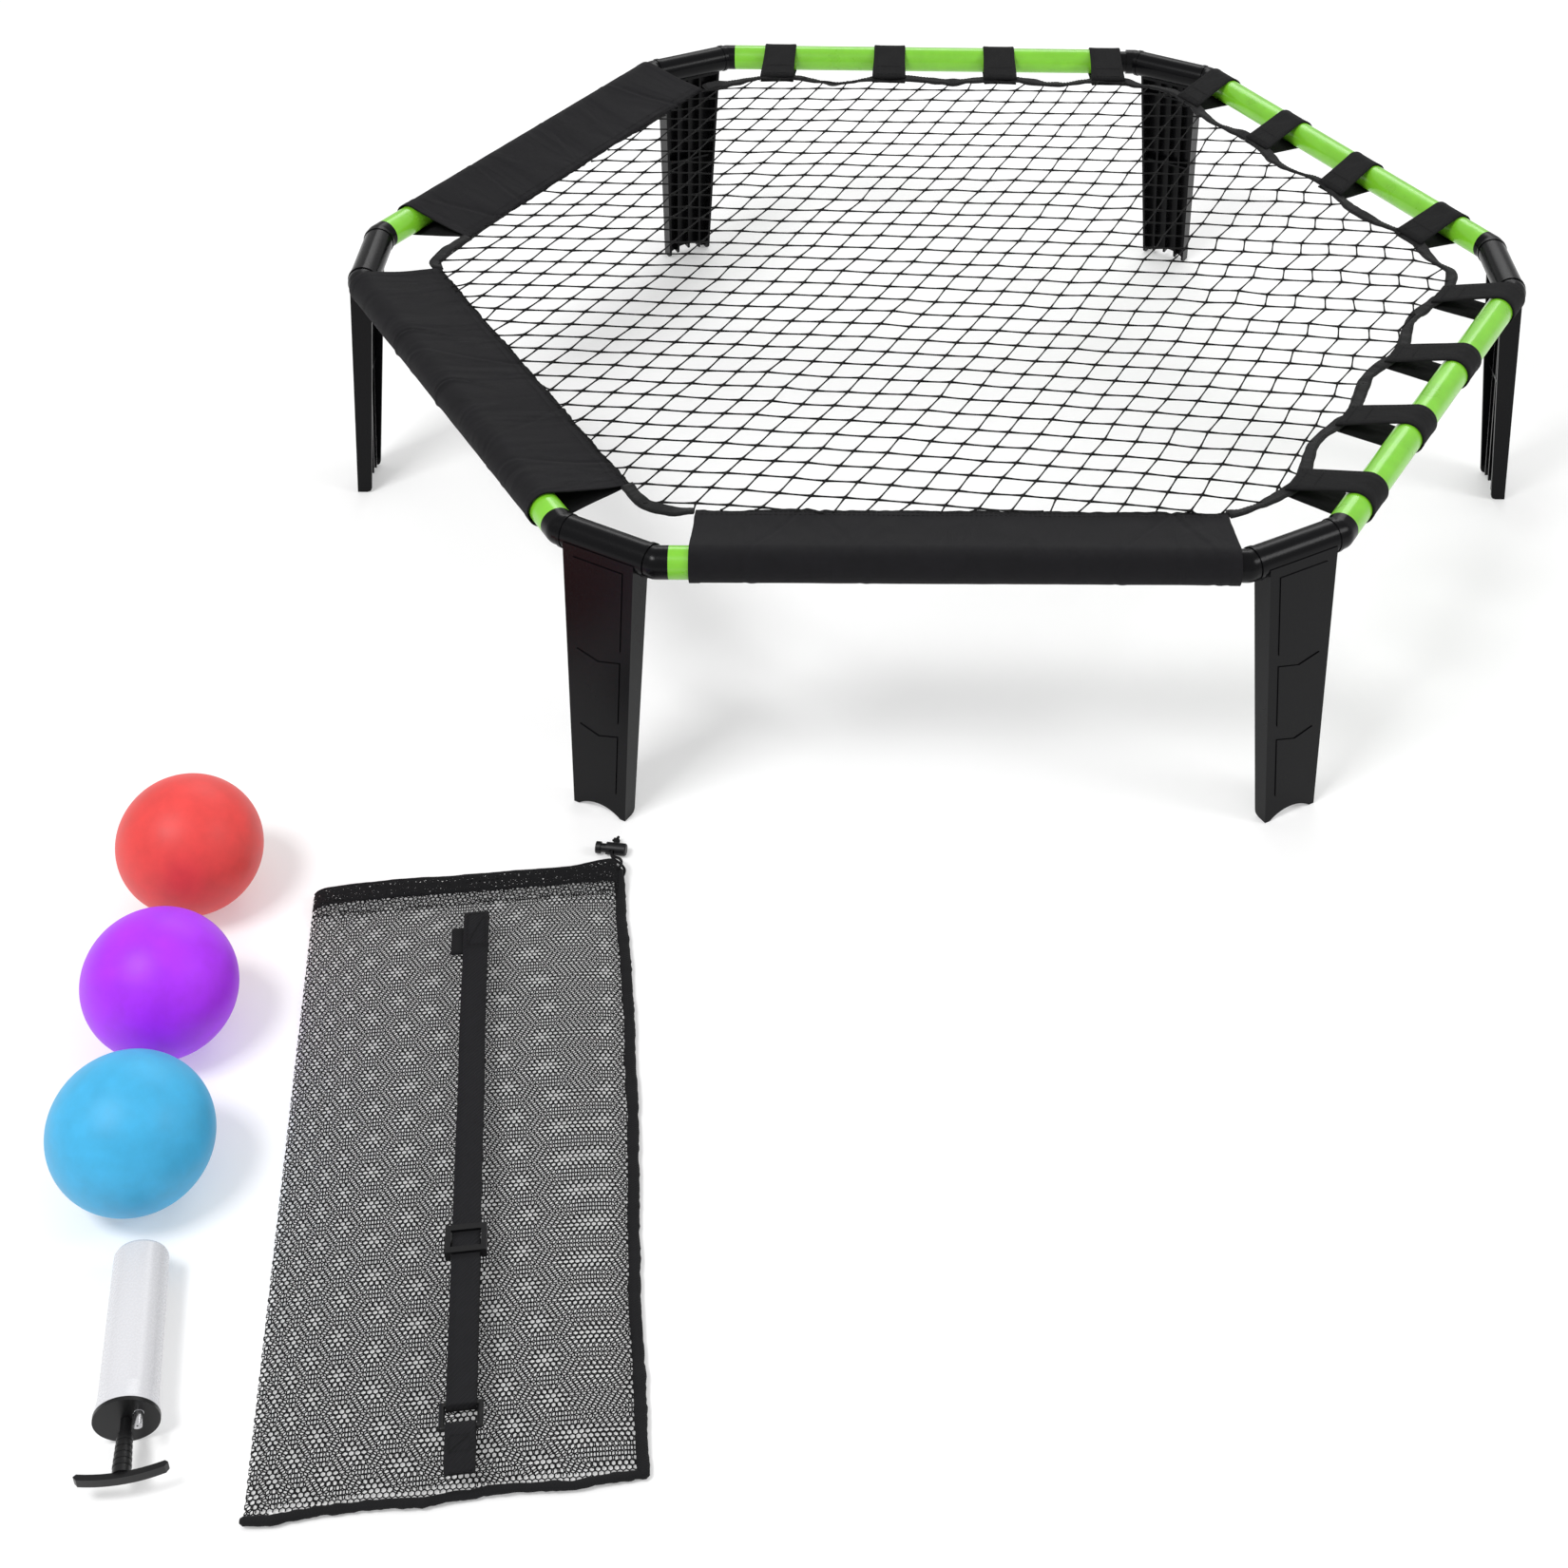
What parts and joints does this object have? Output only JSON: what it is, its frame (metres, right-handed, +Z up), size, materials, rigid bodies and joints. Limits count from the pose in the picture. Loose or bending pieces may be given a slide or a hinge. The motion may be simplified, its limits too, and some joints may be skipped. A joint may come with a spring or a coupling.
{
  "type": "roundnet set",
  "caption": "Hexagonal net ring on folding splayed legs with tabbed and sleeved net edge, inflatable balls, hand pump with stored needle and mesh drawstring carry bag.",
  "frame": {"origin": "on the ground under the centre of the net ring", "axes": "+Z up; +X toward the right-hand corner leg; -Y toward the viewer, where the balls, pump and bag lie"},
  "size_m": [0.9962, 1.3475, 0.2149],
  "materials": {
    "black_plastic": "gloss black moulded plastic",
    "green_tube": "gloss lime green plastic tube",
    "net_twine": "black braided netting twine",
    "black_fabric": "black woven cloth and binding tape",
    "red_ball": "satin red rubber",
    "purple_ball": "satin purple rubber",
    "blue_ball": "satin blue rubber",
    "valve_rubber": "matt black rubber",
    "white_plastic": "satin white plastic",
    "pump_black_plastic": "satin black plastic",
    "needle_metal": "bright nickel plate",
    "bag_mesh": "black hexagon-hole polyester mesh",
    "bag_trim": "black woven polyester",
    "strap_webbing": "black ribbed webbing",
    "buckle_plastic": "black moulded plastic",
    "cord": "black braided cord",
    "lock_plastic": "satin black plastic",
    "spring_steel": "spring wire"
  },
  "bodies": {
    "ring_frame": {"elbows_right": "black_plastic", "elbows_back_right": "black_plastic", "elbows_back_left": "black_plastic", "elbows_left": "black_plastic", "elbows_front_left": "black_plastic", "elbows_front_right": "black_plastic", "rail_right_back": "green_tube", "rail_back": "green_tube", "rail_left_back": "green_tube", "rail_left_front": "green_tube", "rail_front": "green_tube", "rail_right_front": "green_tube", "net": "net_twine", "net_edge_tape": "black_fabric", "cover_front": "black_fabric", "cover_left_front": "black_fabric", "cover_left_back": "black_fabric", "tabs_right_front": "black_fabric", "tabs_right_back": "black_fabric", "tabs_back": "black_fabric"},
    "leg_right_body": {"leg_right": "black_plastic"},
    "leg_back_right_body": {"leg_back_right": "black_plastic"},
    "leg_back_left_body": {"leg_back_left": "black_plastic"},
    "leg_left_body": {"leg_left": "black_plastic"},
    "leg_front_left_body": {"leg_front_left": "black_plastic"},
    "leg_front_right_body": {"leg_front_right": "black_plastic"},
    "red_ball_body": {"ball_red": "red_ball", "ball_red_valve": "valve_rubber"},
    "purple_ball_body": {"ball_purple": "purple_ball", "ball_purple_valve": "valve_rubber"},
    "blue_ball_body": {"ball_blue": "blue_ball", "ball_blue_valve": "valve_rubber"},
    "pump_body": {"pump_barrel": "white_plastic", "pump_end_cap": "pump_black_plastic"},
    "pump_rod_body": {"pump_rod": "pump_black_plastic", "pump_piston": "pump_black_plastic", "pump_piston_ring": "valve_rubber", "pump_handle": "pump_black_plastic"},
    "pump_needle_body": {"pump_needle": "needle_metal"},
    "bag": {"bag_body": "bag_mesh", "bag_mouth_hem": "bag_trim", "bag_seam_binding": "bag_trim", "shoulder_strap": "strap_webbing", "strap_top_anchor": "bag_trim", "strap_ring": "buckle_plastic", "strap_bottom_anchor": "strap_webbing", "drawcord": "cord", "drawcord_tail_a": "cord", "drawcord_tail_b": "cord", "drawcord_knot": "cord", "cord_lock_barrel": "lock_plastic"},
    "strap_slider_body": {"strap_slider": "buckle_plastic", "strap_end_loop": "strap_webbing"},
    "lock_plunger_body": {"cord_lock_plunger": "lock_plastic", "cord_lock_spring": "spring_steel"}
  },
  "joints": [
    {"name": "leg_right_fold", "type": "hinge", "parent": "ring_frame", "child": "leg_right_body", "pos_m": [0.44, 0, 0.202], "axis": [0, 1, 0], "range_deg": [0, 66]},
    {"name": "leg_back_right_fold", "type": "hinge", "parent": "ring_frame", "child": "leg_back_right_body", "pos_m": [0.22, 0.38105, 0.202], "axis": [-0.866, 0.5, 0], "range_deg": [0, 66]},
    {"name": "leg_back_left_fold", "type": "hinge", "parent": "ring_frame", "child": "leg_back_left_body", "pos_m": [-0.22, 0.38105, 0.202], "axis": [-0.866, -0.5, 0], "range_deg": [0, 66]},
    {"name": "leg_left_fold", "type": "hinge", "parent": "ring_frame", "child": "leg_left_body", "pos_m": [-0.44, 0, 0.202], "axis": [0, -1, 0], "range_deg": [0, 66]},
    {"name": "leg_front_left_fold", "type": "hinge", "parent": "ring_frame", "child": "leg_front_left_body", "pos_m": [-0.22, -0.38105, 0.202], "axis": [0.866, -0.5, 0], "range_deg": [0, 66]},
    {"name": "leg_front_right_fold", "type": "hinge", "parent": "ring_frame", "child": "leg_front_right_body", "pos_m": [0.22, -0.38105, 0.202], "axis": [0.866, 0.5, 0], "range_deg": [0, 66]},
    {"name": "ball_red_lift", "type": "slide", "parent": "ring_frame", "child": "red_ball_body", "axis": [0, 0, 1], "range_m": [0, 0.3]},
    {"name": "ball_purple_lift", "type": "slide", "parent": "ring_frame", "child": "purple_ball_body", "axis": [0, 0, 1], "range_m": [0, 0.3]},
    {"name": "ball_blue_lift", "type": "slide", "parent": "ring_frame", "child": "blue_ball_body", "axis": [0, 0, 1], "range_m": [0, 0.3]},
    {"name": "pump_lift", "type": "slide", "parent": "ring_frame", "child": "pump_body", "axis": [0, 0, 1], "range_m": [0, 0.3]},
    {"name": "pump_handle_slide", "type": "slide", "parent": "pump_body", "child": "pump_rod_body", "axis": [0.1822, -0.9833, 0], "range_m": [-0.0078, 0.045]},
    {"name": "needle_pull", "type": "slide", "parent": "pump_body", "child": "pump_needle_body", "axis": [0.1822, -0.9833, 0], "range_m": [0, 0.025]},
    {"name": "bag_lift", "type": "slide", "parent": "ring_frame", "child": "bag", "axis": [0, 0, 1], "range_m": [0, 0.3]},
    {"name": "strap_slider_slide", "type": "slide", "parent": "bag", "child": "strap_slider_body", "axis": [-0.1219, 0.9925, 0], "range_m": [0, 0.06]},
    {"name": "cord_lock_press", "type": "slide", "parent": "bag", "child": "lock_plunger_body", "axis": [0.9903, -0.1392, 0], "range_m": [0, 0.0035], "stiffness_N_per_m": 300, "springref_m": -0.006, "deforming": ["cord_lock_spring"]}
  ]
}
